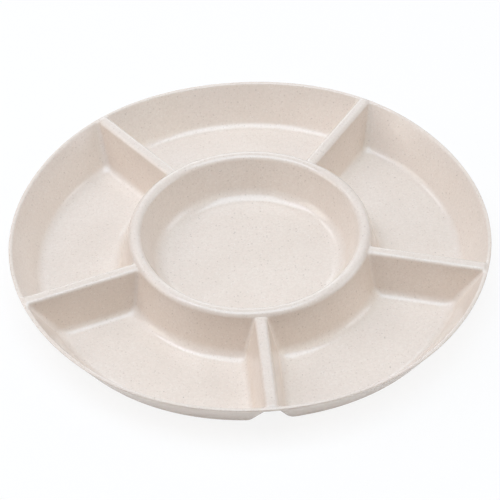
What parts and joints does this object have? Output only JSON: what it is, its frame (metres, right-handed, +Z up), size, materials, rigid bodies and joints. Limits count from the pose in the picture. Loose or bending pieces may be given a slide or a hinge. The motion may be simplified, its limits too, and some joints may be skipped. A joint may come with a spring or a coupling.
{
  "type": "divided serving tray",
  "caption": "Round serving tray with radial dividers and a raised centre well, moulded as one thin plastic skin that stands on its compartments.",
  "frame": {"origin": "middle of the plane that the tray stands on, under the centre well", "axes": "+Z up, out of the well's mouth; one divider runs from the centre ring to the rim along -Y; +X to the right when seen from that divider's side"},
  "size_m": [0.2998, 0.3, 0.0315],
  "materials": {
    "fibre_filled_plastic": "satin pale beige plastic with fine brown flecks"
  },
  "bodies": {
    "root": {"tray": "fibre_filled_plastic"}
  },
  "joints": []
}
